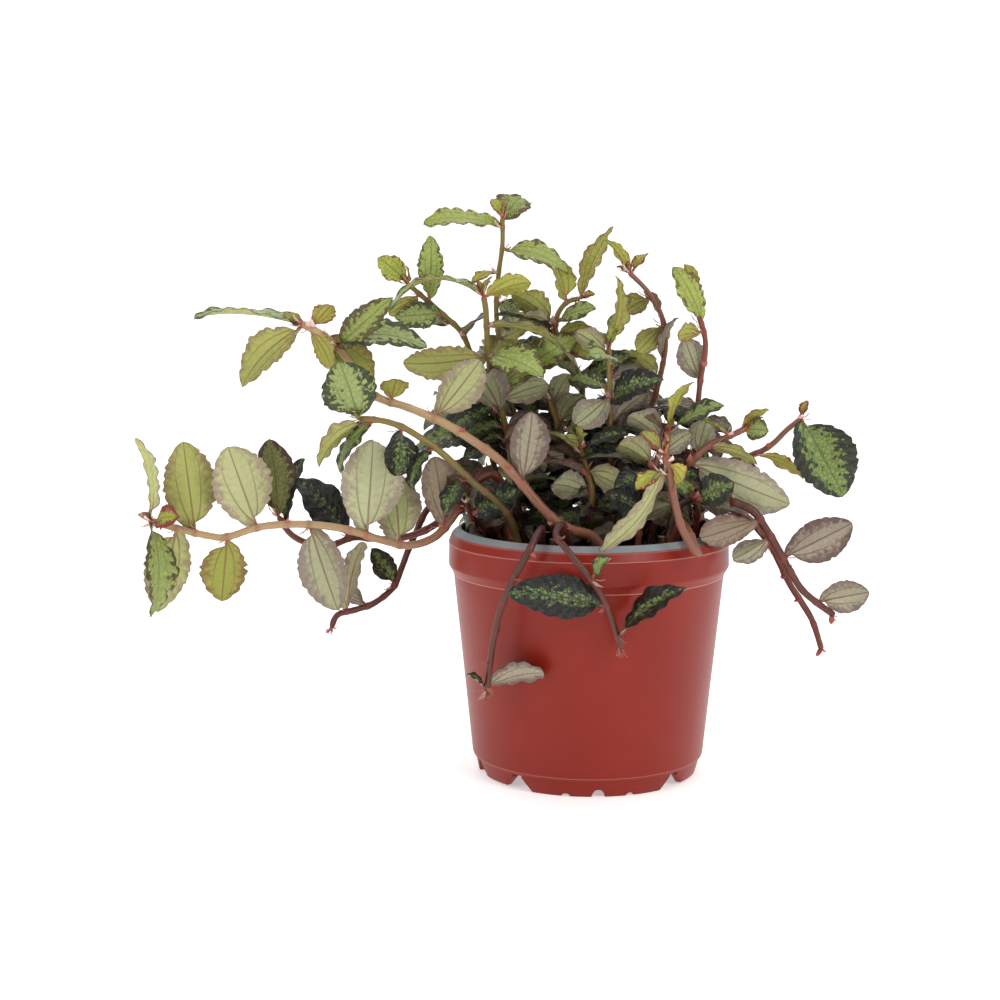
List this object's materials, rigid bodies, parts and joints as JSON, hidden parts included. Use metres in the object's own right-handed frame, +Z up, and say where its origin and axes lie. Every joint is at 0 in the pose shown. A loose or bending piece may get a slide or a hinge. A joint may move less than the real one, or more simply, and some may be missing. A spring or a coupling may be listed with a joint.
{
  "type": "potted watermelon begonia",
  "caption": "Trailing foliage plant with patterned oval scalloped leaves on arching reddish stems, in a round plastic nursery pot filled with soil.",
  "frame": {"origin": "the pot's axis in the plane of its feet, at the middle of the centre foot", "axes": "+Z up along the pot's axis; the longest trailing stem reaches towards -X; the side seen in the picture faces -Y"},
  "size_m": [0.3068, 0.1793, 0.2472],
  "materials": {
    "pot_plastic": "satin",
    "potting_soil": "matte",
    "cut_stub": "matte",
    "leafy_stem": "satin",
    "leafy_stem_dark": "satin"
  },
  "bodies": {
    "root": {"pot": "pot_plastic", "soil": "potting_soil", "cut_stub_1": "cut_stub", "cut_stub_2": "cut_stub", "cut_stub_3": "cut_stub", "cut_stub_4": "cut_stub", "stem_long_left": "leafy_stem", "stem_left_behind": "leafy_stem_dark", "stem_left_low": "leafy_stem_dark", "stem_thick_left": "leafy_stem", "stem_left_round_leaf": "leafy_stem", "stem_upright_olive": "leafy_stem", "stem_tallest": "leafy_stem", "stem_upper_left": "leafy_stem", "stem_zigzag_middle": "leafy_stem", "stem_upright_middle": "leafy_stem", "stem_pink": "leafy_stem", "stem_upright_right": "leafy_stem", "stem_front_right": "leafy_stem", "stem_right_short": "leafy_stem", "stem_right_tuft": "leafy_stem", "stem_right_arch": "leafy_stem_dark", "stem_right_trailing": "leafy_stem_dark", "stem_right_low": "leafy_stem_dark", "stem_hanging_left": "leafy_stem_dark", "stem_hanging_middle": "leafy_stem_dark", "stem_rim_left": "leafy_stem_dark", "stem_centre_short": "leafy_stem", "stem_centre_low": "leafy_stem", "stem_rim_right": "leafy_stem_dark", "stem_back_right": "leafy_stem_dark", "stem_back_middle": "leafy_stem_dark", "stem_back_left": "leafy_stem_dark", "stem_back_left_low": "leafy_stem_dark", "stem_back_upright": "leafy_stem", "stem_back_lean": "leafy_stem"}
  },
  "joints": []
}
